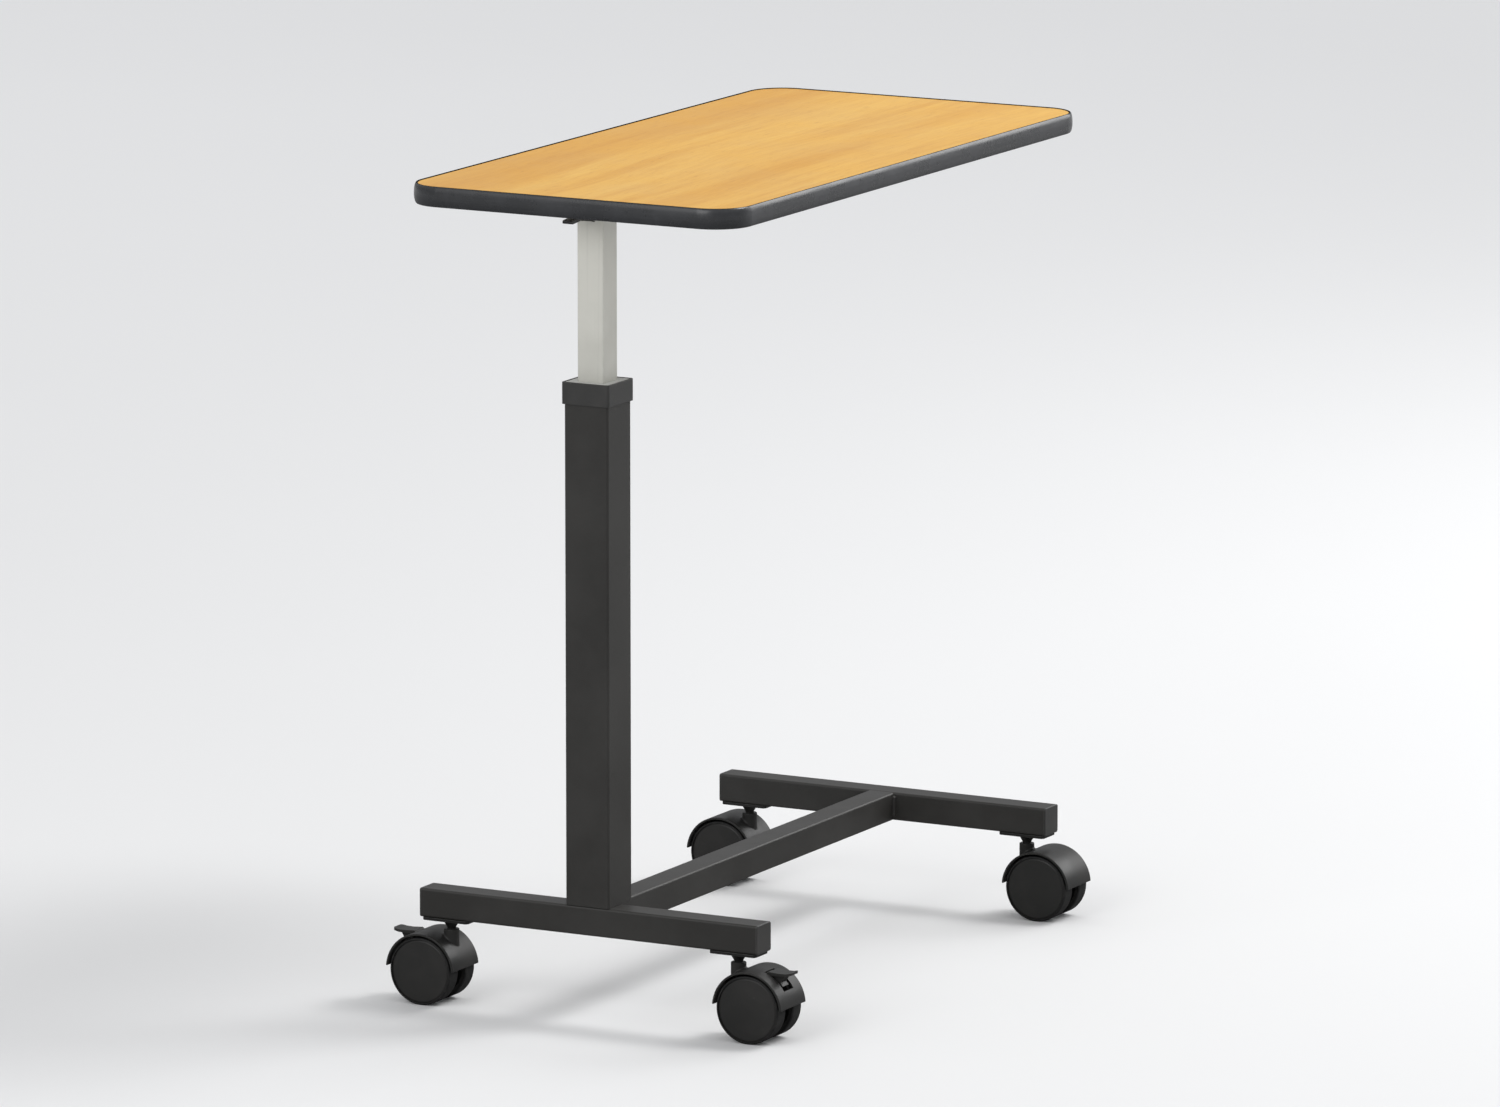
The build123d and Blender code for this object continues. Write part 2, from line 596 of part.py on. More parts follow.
with BuildPart() as lever_grip:
    with BuildSketch(lever_plane):
        with BuildLine():
            Line(
                (LEVER_TIP_REACH - GRIP_LENGTH, LEVER_RISE),
                (LEVER_TIP_REACH, LEVER_RISE - LEVER_DROOP),
            )
        trace(line_width=LEVER_SHEET + 2 * GRIP_SKIN)
        with Locations((LEVER_TIP_REACH, LEVER_RISE - LEVER_DROOP)):
            Circle(LEVER_SHEET / 2 + GRIP_SKIN)
    extrude(amount=LEVER_WIDTH / 2 + GRIP_SKIN, both=True)
    add(release_lever.part, mode=Mode.SUBTRACT)
lever_grip.part.label = "lever_grip"
export_step(lever_grip.part, "parts/lever_grip.step")

ear_inside = LEVER_WIDTH / 2 + EAR_PLAY
with BuildPart() as lever_ears:
    with BuildSketch(Plane(origin=(0, LEVER_AXIS_Y, LEVER_AXIS_Z), x_dir=(0, 1, 0), z_dir=(1, 0, 0))):
        ear_height = WEB_BOTTOM - LEVER_AXIS_Z
        with Locations((0, ear_height / 2)):
            Rectangle(EAR_LENGTH, ear_height)
        Circle(EAR_LENGTH / 2)
        Circle(LEVER_PIN_RADIUS + FITTED_GAP, mode=Mode.SUBTRACT)
    extrude(amount=ear_inside + EAR_THICKNESS, both=True)
    with BuildSketch(level(LEVER_AXIS_Z, (0, LEVER_AXIS_Y))):
        Rectangle(2 * ear_inside, 2 * EAR_LENGTH)
    extrude(amount=EAR_LENGTH, both=True, mode=Mode.SUBTRACT)
lever_ears.part.label = "lever_ears"
export_step(lever_ears.part, "parts/lever_ears.step")

with BuildPart() as lever_pin:
    pin_half = ear_inside + EAR_THICKNESS
    with BuildSketch(
        Plane(origin=(-pin_half, LEVER_AXIS_Y, LEVER_AXIS_Z), x_dir=(0, 1, 0), z_dir=(1, 0, 0))
    ):
        Circle(LEVER_PIN_RADIUS)
    extrude(amount=2 * pin_half)
    with BuildSketch(
        Plane(origin=(pin_half, LEVER_AXIS_Y, LEVER_AXIS_Z), x_dir=(0, 1, 0), z_dir=(1, 0, 0))
    ):
        Circle(LEVER_PIN_HEAD_RADIUS)
    extrude(amount=LEVER_PIN_HEAD)
lever_pin.part.label = "lever_pin"
export_step(lever_pin.part, "parts/lever_pin.step")

# ---------------------------------------------------------------- base frame


def crossbar(bar_y, holes_at_column):
    """A square tube across the table, drilled below for its two caster plates."""
    with BuildPart() as bar:
        with BuildSketch(
            Plane(origin=(-TUBE_LENGTH / 2, bar_y, BAR_AXIS_Z), x_dir=(0, 1, 0), z_dir=(1, 0, 0))
        ):
            square_tube(BAR_SIZE, BAR_CORNER, BAR_WALL)
        extrude(amount=TUBE_LENGTH)
        with BuildSketch(level(BAR_BOTTOM)):
            with Locations(*[place for place in PLATE_SCREWS if place[1] == bar_y]):
                Circle(PLATE_SCREW_RADIUS + FITTED_GAP)
        extrude(amount=BAR_WALL, mode=Mode.SUBTRACT)
        if holes_at_column:
            with BuildSketch(level(BAR_BOTTOM, COLUMN_AXIS)):
                Circle(FOOT_BOLT_RADIUS + BOLT_PLAY)
            extrude(amount=BAR_SIZE, mode=Mode.SUBTRACT)
    return bar


near_crossbar = crossbar(NEAR_Y, holes_at_column=True)
near_crossbar.part.label = "near_crossbar"
export_step(near_crossbar.part, "parts/near_crossbar.step")

far_crossbar = crossbar(FAR_Y, holes_at_column=False)
far_crossbar.part.label = "far_crossbar"
export_step(far_crossbar.part, "parts/far_crossbar.step")

with BuildPart() as centre_beam:
    beam_start = NEAR_Y + BAR_SIZE / 2
    beam_end = FAR_Y - BAR_SIZE / 2
    with BuildSketch(Plane(origin=(0, beam_start, BAR_AXIS_Z), x_dir=(-1, 0, 0), z_dir=(0, 1, 0))):
        square_tube(BAR_SIZE, BAR_CORNER, BAR_WALL)
    extrude(amount=beam_end - beam_start)
centre_beam.part.label = "centre_beam"
export_step(centre_beam.part, "parts/centre_beam.step")

# four hollow plugs that close the crossbars' ends
with BuildPart() as crossbar_caps:
    for side in (-1, 1):
        for bar_y in (NEAR_Y, FAR_Y):
            tube_end = Plane(
                origin=(side * TUBE_LENGTH / 2, bar_y, BAR_AXIS_Z), x_dir=(0, side, 0), z_dir=(side, 0, 0)
            )
            with BuildSketch(tube_end):
                RectangleRounded(BAR_SIZE, BAR_SIZE, BAR_CORNER)
            extrude(amount=CAP_FLANGE)
            with BuildSketch(tube_end):
                plug_size = BAR_SIZE - 2 * BAR_WALL - 2 * FITTED_GAP
                square_tube(plug_size, CAP_PLUG_CORNER, CAP_WALL)
            extrude(amount=-CAP_PLUG)
    outer_rims = crossbar_caps.edges().group_by(Axis.X)
    fillet(outer_rims[0] + outer_rims[-1], radius=CAP_ROUND)
crossbar_caps.part.label = "crossbar_caps"
export_step(crossbar_caps.part, "parts/crossbar_caps.step")

# ---------------------------------------------------------------- caster plates, stems and screws

with BuildPart() as caster_plates:
    with BuildSketch(level(PLATE_BOTTOM)):
        with Locations(*PIVOTS):
            RectangleRounded(PLATE_LENGTH, PLATE_WIDTH, PLATE_CORNER)
            Circle(STEM_RADIUS + FITTED_GAP, mode=Mode.SUBTRACT)
        with Locations(*PLATE_SCREWS):
            Circle(PLATE_SCREW_RADIUS + PLATE_SCREW_PLAY, mode=Mode.SUBTRACT)
    extrude(amount=PLATE_THICKNESS)
caster_plates.part.label = "caster_plates"
export_step(caster_plates.part, "parts/caster_plates.step")

with BuildPart() as plate_screws:
    with BuildSketch(level(PLATE_BOTTOM - PLATE_SCREW_HEAD)):
        with Locations(*PLATE_SCREWS):
            Circle(PLATE_SCREW_HEAD_RADIUS)
    extrude(amount=PLATE_SCREW_HEAD)
    fillet(plate_screws.edges().group_by(Axis.Z)[0], radius=PLATE_SCREW_HEAD / 2)
    with BuildSketch(level(PLATE_BOTTOM)):
        with Locations(*PLATE_SCREWS):
            Circle(PLATE_SCREW_RADIUS)
    extrude(amount=PLATE_THICKNESS + PLATE_SCREW_REACH)
    with BuildSketch(level(PLATE_BOTTOM - PLATE_SCREW_HEAD)):
        with Locations(*PLATE_SCREWS):
            cross_recess()
    extrude(amount=RECESS_DEPTH, mode=Mode.SUBTRACT)
plate_screws.part.label = "plate_screws"
export_step(plate_screws.part, "parts/plate_screws.step")

# each stem is turned: a flared neck under the plate, then a shank with a groove for its clip
with BuildPart() as caster_stems:
    for pivot_x, pivot_y in PIVOTS:
        with BuildSketch(Plane(origin=(pivot_x, pivot_y, 0), x_dir=(1, 0, 0), z_dir=(0, -1, 0))):
            Polygon(
                (0, STEM_BOTTOM),
                (STEM_RADIUS, STEM_BOTTOM),
                (STEM_RADIUS, CLIP_Z),
                (STEM_RADIUS - STEM_GROOVE, CLIP_Z),
                (STEM_RADIUS - STEM_GROOVE, CLIP_Z + CLIP_THICKNESS),
                (STEM_RADIUS, CLIP_Z + CLIP_THICKNESS),
                (STEM_RADIUS, WAIST_BOTTOM),
                (WAIST_RADIUS, WAIST_TOP),
                (NECK_RADIUS, PLATE_BOTTOM - NECK_LIP),
                (NECK_RADIUS, PLATE_BOTTOM),
                (STEM_RADIUS, PLATE_BOTTOM),
                (STEM_RADIUS, BAR_BOTTOM),
                (0, BAR_BOTTOM),
                align=None,
            )
        revolve(axis=Axis((pivot_x, pivot_y, 0), (0, 0, 1)))
caster_stems.part.label = "caster_stems"
export_step(caster_stems.part, "parts/caster_stems.step")

with BuildPart() as stem_clips:
    with BuildSketch(level(CLIP_Z)):
        with Locations(*PIVOTS):
            Circle(CLIP_RADIUS)
            Circle(STEM_RADIUS - STEM_GROOVE, mode=Mode.SUBTRACT)
        with Locations(*[(x, y - CLIP_RADIUS) for x, y in PIVOTS]):
            Rectangle(STEM_RADIUS, CLIP_RADIUS, mode=Mode.SUBTRACT)
    extrude(amount=CLIP_THICKNESS)
stem_clips.part.label = "stem_clips"
export_step(stem_clips.part, "parts/stem_clips.step")

# ---------------------------------------------------------------- casters

# A caster is drawn about its pivot: x along the trail, towards the table's side, and z up.
AXLE_PLACE = (TRAIL, WHEEL_RADIUS)


def caster_plane(side, pivot_y):
    """The upright plane through a caster's pivot and trail, x outwards and y up."""
    return Plane(origin=(side * CASTER_X, pivot_y, 0), x_dir=(side, 0, 0), z_dir=(0, -side, 0))


def about_axle(radius, angle):
    """The point at that radius from the axle, at an angle above the trail."""
    return (TRAIL + radius * cos(radians(angle)), WHEEL_RADIUS + radius * sin(radians(angle)))


def sector(radius, start_angle, end_angle):
    """The wedge of a disc about the axle, between two angles above the trail."""
    start = about_axle(radius, start_angle)
    end = about_axle(radius, end_angle)
    with BuildSketch(mode=Mode.PRIVATE) as wedge:
        with BuildLine():
            RadiusArc(start, end, -radius)
            Line(end, AXLE_PLACE)
            Line(AXLE_PLACE, start)
        make_face()
    return wedge.sketch


def build_hood(upright, braked):
    """The hood: an arched shell over both wheels, a web between them and the stem's boss."""
    with BuildPart() as hood:
        with BuildSketch(upright):
            with Locations(AXLE_PLACE):
                Circle(HOOD_RADIUS)
                Circle(HOOD_RADIUS - HOOD_WALL, mode=Mode.SUBTRACT)
            with Locations((TRAIL, HOOD_TIP - HOOD_RADIUS)):
                Rectangle(3 * HOOD_RADIUS, 2 * HOOD_RADIUS, mode=Mode.SUBTRACT)
        extrude(amount=HOOD_WIDTH / 2, both=True)
        rims = hood.edges().filter_by(GeomType.CIRCLE).sort_by(SortBy.RADIUS)[-2:]
        fillet(rims, radius=HOOD_ROUND)
        with BuildSketch(upright):
            with Locations(AXLE_PLACE):
                Circle(HOOD_RADIUS - HOOD_WALL / 2)
            Polygon(
                (-BOSS_RADIUS, BOSS_TOP),
                (-BOSS_RADIUS, BOSS_BOTTOM),
                *WEB_OUTLINE,
                align=None,
                mode=Mode.INTERSECT,
            )
        extrude(amount=WEB_WIDTH / 2, both=True)
        pivot_centre = (upright.origin.X, upright.origin.Y)
        with BuildSketch(level(CLIP_POCKET_TOP, pivot_centre)):
            Circle(BOSS_RADIUS)
        extrude(amount=BOSS_TOP - CLIP_POCKET_TOP)
        boss_rim = hood.edges().group_by(Axis.Z)[-1]
        fillet(boss_rim, radius=HOOD_ROUND)
        boss_root = hood.edges().filter_by(GeomType.BSPLINE).sort_by(SortBy.LENGTH)[-1]
        fillet(boss_root, radius=BOSS_ROOT)
        tip_band = (HOOD_TIP - FITTED_GAP, HOOD_TIP + FITTED_GAP)
        tip_edges = hood.edges().filter_by(Axis.Y).filter_by_position(Axis.Z, *tip_band)
        fillet(tip_edges, radius=HOOD_TIP_ROUND)
        # stem bore, and the pocket for its clip below
        with BuildSketch(level(CLIP_POCKET_TOP, pivot_centre)):
            Circle(STEM_RADIUS + FITTED_GAP)
        extrude(amount=BOSS_TOP, mode=Mode.SUBTRACT)
        with BuildSketch(level(STEM_BOTTOM - 2 * CLIP_RADIUS, pivot_centre)):
            Circle(CLIP_RADIUS + CLIP_PLAY)
        extrude(amount=CLIP_POCKET_TOP - STEM_BOTTOM + 2 * CLIP_RADIUS, mode=Mode.SUBTRACT)
        with BuildSketch(upright):
            with Locations(AXLE_PLACE):
                Circle(AXLE_RADIUS + FITTED_GAP / 2)
        extrude(amount=WEB_WIDTH / 2, both=True, mode=Mode.SUBTRACT)
        if braked:
            # opening in the shell for the pedal
            with BuildSketch(upright):
                add(sector(HOOD_RADIUS + CUT_MARGIN, OPENING_START, OPENING_END))
                with Locations(AXLE_PLACE):
                    Circle(OPENING_FLOOR, mode=Mode.SUBTRACT)
            extrude(amount=PEDAL_WIDTH / 2 + OPENING_GAP, both=True, mode=Mode.SUBTRACT)
            # slot in the web for the pedal's leg, and holes for its trunnions
            with BuildSketch(upright):
                Polygon(*LEG_SLOT, align=None)
                with Locations(AXLE_PLACE):
                    Circle(HOOD_RADIUS - HOOD_WALL, mode=Mode.INTERSECT)
            extrude(amount=PEDAL_LEG_WIDTH / 2 + PEDAL_LEG_PLAY, both=True, mode=Mode.SUBTRACT)
            with BuildSketch(upright):
                with Locations(PEDAL_PIVOT):
                    Circle(PEDAL_TRUNNION + FITTED_GAP)
            extrude(amount=WEB_WIDTH / 2, both=True, mode=Mode.SUBTRACT)
    return hood


def build_axle(upright):
    """The steel axle, pressed through the hood's web."""
    with BuildPart() as axle:
        with BuildSketch(upright):
            with Locations(AXLE_PLACE):
                Circle(AXLE_RADIUS)
        extrude(amount=AXLE_HALF_LENGTH, both=True)
        chamfer(axle.edges().filter_by(GeomType.CIRCLE), length=AXLE_CHAMFER)
    return axle


def wheel_plane(upright, outward):
    """The half plane of a wheel's section: x out from the caster's middle, y the radius."""
    centre = upright.origin + upright.x_dir * TRAIL + Vector(0, 0, WHEEL_RADIUS)
    return Plane(origin=centre, x_dir=(0, outward, 0), z_dir=(outward, 0, 0))


def build_wheel_core(section):
    """A wheel's nylon core: hub, domed outer disc and rim, open towards the hood's web."""
    disc_inside = WHEEL_OUTER - DISC_DOME - DISC_WALL
    blind_end = AXLE_HALF_LENGTH + AXLE_END_GAP
    bore = AXLE_RADIUS + FITTED_GAP
    with BuildPart() as core:
        with BuildSketch(section):
            with BuildLine():
                ThreePointArc(
                    (WHEEL_OUTER, 0),
                    (WHEEL_OUTER - DISC_DOME / 4, DISC_RADIUS / 2),
                    (WHEEL_OUTER - DISC_DOME, DISC_RADIUS),
                )
                Polyline(
                    (WHEEL_OUTER - DISC_DOME, DISC_RADIUS),
                    (WHEEL_OUTER - DISC_DOME - DISC_BEVEL, CORE_RADIUS),
                    (WHEEL_INNER + RIM_INSET, CORE_RADIUS),
                    (WHEEL_INNER + RIM_INSET, CORE_RADIUS - RIM_WALL),
                    (disc_inside, CORE_RADIUS - RIM_WALL),
                    (disc_inside, HUB_RADIUS),
                    (WHEEL_INNER, HUB_RADIUS),
                    (WHEEL_INNER, bore),
                    (blind_end, bore),
                    (blind_end, 0),
                    (WHEEL_OUTER, 0),
                )
            make_face()
        revolve(axis=Axis(section.origin, section.x_dir))
    return core


def build_tyre(section):
    """A wheel's tread ring, rounded at both shoulders."""
    shoulder = WHEEL_RADIUS - TYRE_ROUND
    flat_start = WHEEL_OUTER - TYRE_ROUND
    flat_end = WHEEL_INNER + TYRE_ROUND
    with BuildPart() as tyre:
        with BuildSketch(section):
            with BuildLine():
                Polyline(
                    (WHEEL_INNER, shoulder),
                    (WHEEL_INNER, CORE_RADIUS),
                    (WHEEL_OUTER, CORE_RADIUS),
                    (WHEEL_OUTER, shoulder),
                )
                CenterArc((flat_start, shoulder), TYRE_ROUND, 0, 90)
                Line((flat_start, WHEEL_RADIUS), (flat_end, WHEEL_RADIUS))
                CenterArc((flat_end, shoulder), TYRE_ROUND, 90, 90)
            make_face()
        revolve(axis=Axis(section.origin, section.x_dir))
    return tyre


def build_pedal(upright):
    """The brake pedal: a tab, a skin in the hood's opening, a splay between, and a leg with trunnions."""
    with BuildPart() as pedal:
        with BuildSketch(upright):
            Polygon(*PEDAL_TAB, align=None)
            with Locations(AXLE_PLACE):
                Circle(PEDAL_SKIN_INNER, mode=Mode.SUBTRACT)
        extrude(amount=PEDAL_WIDTH / 2, both=True)
        tip_corners = pedal.edges().filter_by(Axis.Z)
        fillet(tip_corners, radius=PEDAL_CORNER)
        with BuildSketch(upright):
            add(sector(PEDAL_SKIN_OUTER, PEDAL_SKIN_START, PEDAL_SKIN_END))
            Polygon(*PEDAL_SPLAY, align=None)
            with Locations(AXLE_PLACE):
                Circle(PEDAL_SKIN_INNER, mode=Mode.SUBTRACT)
        extrude(amount=PEDAL_SKIN_WIDTH / 2, both=True)
        with BuildSketch(upright):
            Polygon(*PEDAL_LEG, align=None)
        extrude(amount=PEDAL_LEG_WIDTH / 2, both=True)
        with BuildSketch(upright):
            with Locations(PEDAL_PIVOT):
                Circle(PEDAL_TRUNNION)
        extrude(amount=WEB_WIDTH / 2 - PEDAL_TRUNNION_GAP, both=True)
    return pedal


for end, pivot_y in (("near", NEAR_Y), ("far", FAR_Y)):
    for side, side_name in ((-1, "left"), (1, "right")):
        corner = f"{end}_{side_name}"
        upright = caster_plane(side, pivot_y)
        braked = end == "near"

        hood = build_hood(upright, braked)
        hood.part.label = f"{corner}_hood"
        export_step(hood.part, f"parts/{corner}_hood.step")

        axle = build_axle(upright)
        axle.part.label = f"{corner}_axle"
        export_step(axle.part, f"parts/{corner}_axle.step")

        for outward, wheel_name in ((-1, "front"), (1, "back")):
            section = wheel_plane(upright, outward)

            wheel_core = build_wheel_core(section)
            wheel_core.part.label = f"{corner}_{wheel_name}_wheel"
            export_step(wheel_core.part, f"parts/{corner}_{wheel_name}_wheel.step")

            tyre = build_tyre(section)
            tyre.part.label = f"{corner}_{wheel_name}_tyre"
            export_step(tyre.part, f"parts/{corner}_{wheel_name}_tyre.step")

        if braked:
            pedal = build_pedal(upright)
            pedal.part.label = f"{corner}_brake_pedal"
            export_step(pedal.part, f"parts/{corner}_brake_pedal.step")
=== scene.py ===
import json
import math
import random

import bmesh
import bpy
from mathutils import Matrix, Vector


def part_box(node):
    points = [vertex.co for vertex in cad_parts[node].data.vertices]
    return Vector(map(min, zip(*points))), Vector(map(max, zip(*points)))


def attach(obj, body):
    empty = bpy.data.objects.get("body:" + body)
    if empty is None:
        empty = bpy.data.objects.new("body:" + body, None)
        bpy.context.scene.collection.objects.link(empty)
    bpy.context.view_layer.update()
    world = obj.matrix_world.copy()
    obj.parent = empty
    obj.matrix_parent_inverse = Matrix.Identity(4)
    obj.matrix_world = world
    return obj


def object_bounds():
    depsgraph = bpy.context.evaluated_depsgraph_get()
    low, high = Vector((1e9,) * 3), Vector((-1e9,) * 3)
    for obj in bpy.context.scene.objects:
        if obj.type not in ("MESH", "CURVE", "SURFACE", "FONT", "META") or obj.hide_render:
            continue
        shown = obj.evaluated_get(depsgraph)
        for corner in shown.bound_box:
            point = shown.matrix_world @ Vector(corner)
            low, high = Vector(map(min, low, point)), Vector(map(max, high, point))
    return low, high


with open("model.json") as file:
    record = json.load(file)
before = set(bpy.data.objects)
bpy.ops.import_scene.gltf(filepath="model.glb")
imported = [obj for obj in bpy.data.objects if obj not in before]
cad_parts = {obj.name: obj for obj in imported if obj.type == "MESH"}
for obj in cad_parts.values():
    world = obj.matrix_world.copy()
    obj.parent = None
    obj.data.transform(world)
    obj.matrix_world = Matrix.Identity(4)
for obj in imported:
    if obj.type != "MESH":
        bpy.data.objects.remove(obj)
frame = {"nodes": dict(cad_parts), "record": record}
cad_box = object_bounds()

# The board's half sizes come from the frame, and its corners from the board's own outline.
BOARD_LOW, BOARD_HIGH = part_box("top_laminate")
BOARD_HALF = (BOARD_HIGH - BOARD_LOW) / 2
BOARD_CORNER = 0.0375
SEAM_INSET = 0.001

# ---------------------------------------------------------------- material graphs


BEVEL_SAMPLES = 6
EDGE_FLAT = 0.99
EDGE_SHARP = 0.86


class Graph:
    """A material's node tree, written as calls. A value may be a number, a colour or a socket."""

    def __init__(self, name):
        self.material = bpy.data.materials.new(name)
        self.material.use_nodes = True
        self.tree = self.material.node_tree
        self.surface = self.tree.nodes["Principled BSDF"]
        self.place = self.node("ShaderNodeTexCoord").outputs["Object"]

    def node(self, kind, inputs=None, **settings):
        """Adds a node, sets its properties and fills its inputs, by name or by place in the list."""
        made = self.tree.nodes.new(kind)
        for key, value in settings.items():
            setattr(made, key, value)
        for key, value in (inputs or {}).items():
            self.fill(made.inputs[key], value)
        return made

    def fill(self, socket, value):
        """Links a socket, or sets a plain value."""
        if isinstance(value, bpy.types.NodeSocket):
            self.tree.links.new(value, socket)
        else:
            socket.default_value = value

    def stretched(self, scale):
        """Object coordinates multiplied by a scale for each axis."""
        return self.node("ShaderNodeMapping", {"Vector": self.place, "Scale": scale}).outputs[0]

    def noise(self, scale, detail=2.0, roughness=0.5, vector=None, distortion=0.0):
        """A noise value, about 0 to 1."""
        inputs = {
            "Vector": self.place if vector is None else vector,
            "Scale": scale,
            "Detail": detail,
            "Roughness": roughness,
            "Distortion": distortion,
        }
        return self.node("ShaderNodeTexNoise", inputs).outputs[0]

    def level(self, value, low, high, out_low=0.0, out_high=1.0):
        """Maps low..high smoothly to out_low..out_high."""
        inputs = {0: value, 1: low, 2: high, 3: out_low, 4: out_high}
        made = self.node("ShaderNodeMapRange", inputs, interpolation_type="SMOOTHSTEP")
        return made.outputs[0]

    def math(self, operation, first, second=0.0):
        """One arithmetic step."""
        return self.node("ShaderNodeMath", {0: first, 1: second}, operation=operation).outputs[0]

    def mix(self, factor, first, second):
        """Mixes two colours."""
        made = self.node("ShaderNodeMix", data_type="RGBA")
        self.fill(made.inputs["Factor"], factor)
        self.fill(made.inputs["A"], first)
        self.fill(made.inputs["B"], second)
        return made.outputs["Result"]

    def rounded(self, radius):
        """The normal as it would be if every sharp edge had that radius."""
        return self.node("ShaderNodeBevel", {"Radius": radius}, samples=BEVEL_SAMPLES).outputs[0]

    def edges(self, radius):
        """About 1 along edges sharper than the radius, and 0 on open faces."""
        facing = self.node("ShaderNodeNewGeometry").outputs["Normal"]
        inputs = {0: self.rounded(radius), 1: facing}
        alike = self.node("ShaderNodeVectorMath", inputs, operation="DOT_PRODUCT").outputs["Value"]
        return self.level(alike, EDGE_FLAT, EDGE_SHARP)

    def bump(self, height, distance, strength=1.0, edge=0.0006):
        """A bump of that height, in metres, over edges softened to a radius."""
        inputs = {
            "Height": height,
            "Distance": distance,
            "Strength": strength,
            "Normal": self.rounded(edge),
        }
        return self.node("ShaderNodeBump", inputs).outputs[0]

    def set(self, **inputs):
        """Fills the surface's inputs: underscores stand for spaces."""
        for key, value in inputs.items():
            self.fill(self.surface.inputs[key.replace("_", " ")], value)
        return self.material


def srgb(red, green, blue):
    """A display colour, 0 to 255, as linear light."""
    channels = [value / 255 for value in (red, green, blue)]
    linear = [c / 12.92 if c <= 0.04045 else ((c + 0.055) / 1.055) ** 2.4 for c in channels]
    return (*linear, 1.0)


# ---------------------------------------------------------------- materials


def outline_distance(g):
    """How far inside the rounded outline of the board a point lies, in metres."""
    parts = g.node("ShaderNodeSeparateXYZ", {0: g.place}).outputs
    past_x = g.math("SUBTRACT", g.math("ABSOLUTE", parts[0]), BOARD_HALF.x - BOARD_CORNER)
    past_y = g.math("SUBTRACT", g.math("ABSOLUTE", parts[1]), BOARD_HALF.y - BOARD_CORNER)
    outer = g.node(
        "ShaderNodeCombineXYZ",
        {0: g.math("MAXIMUM", past_x, 0.0), 1: g.math("MAXIMUM", past_y, 0.0)},
    ).outputs[0]
    reach = g.node("ShaderNodeVectorMath", {0: outer}, operation="LENGTH").outputs["Value"]
    inside = g.math("MINIMUM", g.math("MAXIMUM", past_x, past_y), 0.0)
    return g.math("SUBTRACT", BOARD_CORNER, g.math("ADD", reach, inside))


def wood_laminate():
    """Printed maple: straight streaks along the top, fine fibres and short pores, under a satin film."""
    g = Graph("wood_laminate")
    sway = g.math("MULTIPLY", g.noise(1.3), 0.09)
    offset = g.node("ShaderNodeCombineXYZ", {0: sway}).outputs[0]
    swayed = g.node("ShaderNodeVectorMath", {0: g.place, 1: offset}, operation="ADD").outputs[0]
    along = g.node("ShaderNodeMapping", {"Vector": swayed, "Scale": (1.0, 0.05, 1.0)}).outputs[0]
    boards = g.noise(10.0, detail=3.0, roughness=0.55, vector=along)
    streaks = g.noise(46.0, detail=5.0, roughness=0.62, vector=along, distortion=0.2)
    fibres = g.noise(480.0, detail=3.0, roughness=0.7, vector=along)
    pores = g.noise(820.0, detail=1.0, vector=along)
    tone = g.mix(g.level(boards, 0.34, 0.68), srgb(213, 160, 72), srgb(223, 175, 86))
    tone = g.mix(g.level(streaks, 0.46, 0.74, 0.0, 0.5), tone, srgb(198, 139, 54))
    tone = g.mix(g.level(streaks, 0.46, 0.26, 0.0, 0.35), tone, srgb(230, 191, 104))
    tone = g.mix(g.level(fibres, 0.42, 0.72, 0.0, 0.28), tone, srgb(189, 130, 56))
    pore_mask = g.level(pores, 0.67, 0.75, 0.0, 0.4)
    tone = g.mix(pore_mask, tone, srgb(164, 100, 40))
    # painted shade: a dark brown band within a millimetre of the board's outline, standing in for the
    # shade in the seam to the bumper
    rim = g.level(outline_distance(g), 0.0009, 0.0003)
    tone = g.mix(rim, tone, srgb(74, 48, 26))
    smears = g.noise(7.0, detail=4.0, roughness=0.6)
    height = g.math("SUBTRACT", g.math("MULTIPLY", fibres, 0.35), pore_mask)
    return g.set(
        Base_Color=tone,
        Roughness=g.level(smears, 0.30, 0.72, 0.38, 0.50),
        Specular_IOR_Level=0.22,
        Normal=g.bump(height, 0.00004, 0.5),
    )


def particle_board():
    """Raw board: pressed chips of mixed tan."""
    g = Graph("particle_board")
    chips = g.node("ShaderNodeTexVoronoi", {"Vector": g.place, "Scale": 420.0})
    flecks = g.node("ShaderNodeSeparateColor", {0: chips.outputs["Color"]}).outputs[0]
    tone = g.mix(flecks, srgb(158, 124, 84), srgb(206, 176, 134))
    return g.set(Base_Color=tone, Roughness=0.85, Normal=g.bump(flecks, 0.0003))


def backing_sheet():
    """The matt balancing sheet under the board, faintly mottled."""
    g = Graph("backing_sheet")
    mottle = g.noise(55.0, detail=5.0, roughness=0.6)
    grain = g.noise(1400.0, detail=2.0)
    tone = g.mix(g.level(mottle, 0.35, 0.68), srgb(186, 180, 168), srgb(198, 193, 182))
    return g.set(
        Base_Color=tone,
        Roughness=g.level(mottle, 0.3, 0.7, 0.55, 0.66),
        Normal=g.bump(grain, 0.00003, 0.6),
    )


def bumper_shade_and_dulling(g, parts):
    """1 on the bumper's crest and on its rim's inner wall, which are painted dark as shade and lose
    their gloss, and 0 on its outer side.
    """
    facing = g.node("ShaderNodeNewGeometry").outputs["Normal"]
    upward = g.node("ShaderNodeSeparateXYZ", {0: facing}).outputs[2]
    across = g.node("ShaderNodeCombineXYZ", {0: parts[0], 1: parts[1]}).outputs[0]
    outward = g.node("ShaderNodeVectorMath", {0: facing, 1: across}, operation="DOT_PRODUCT")
    inward = g.level(outward.outputs["Value"], -0.02, -0.10)
    return g.math("MAXIMUM", g.level(upward, 0.6, 0.92), inward)


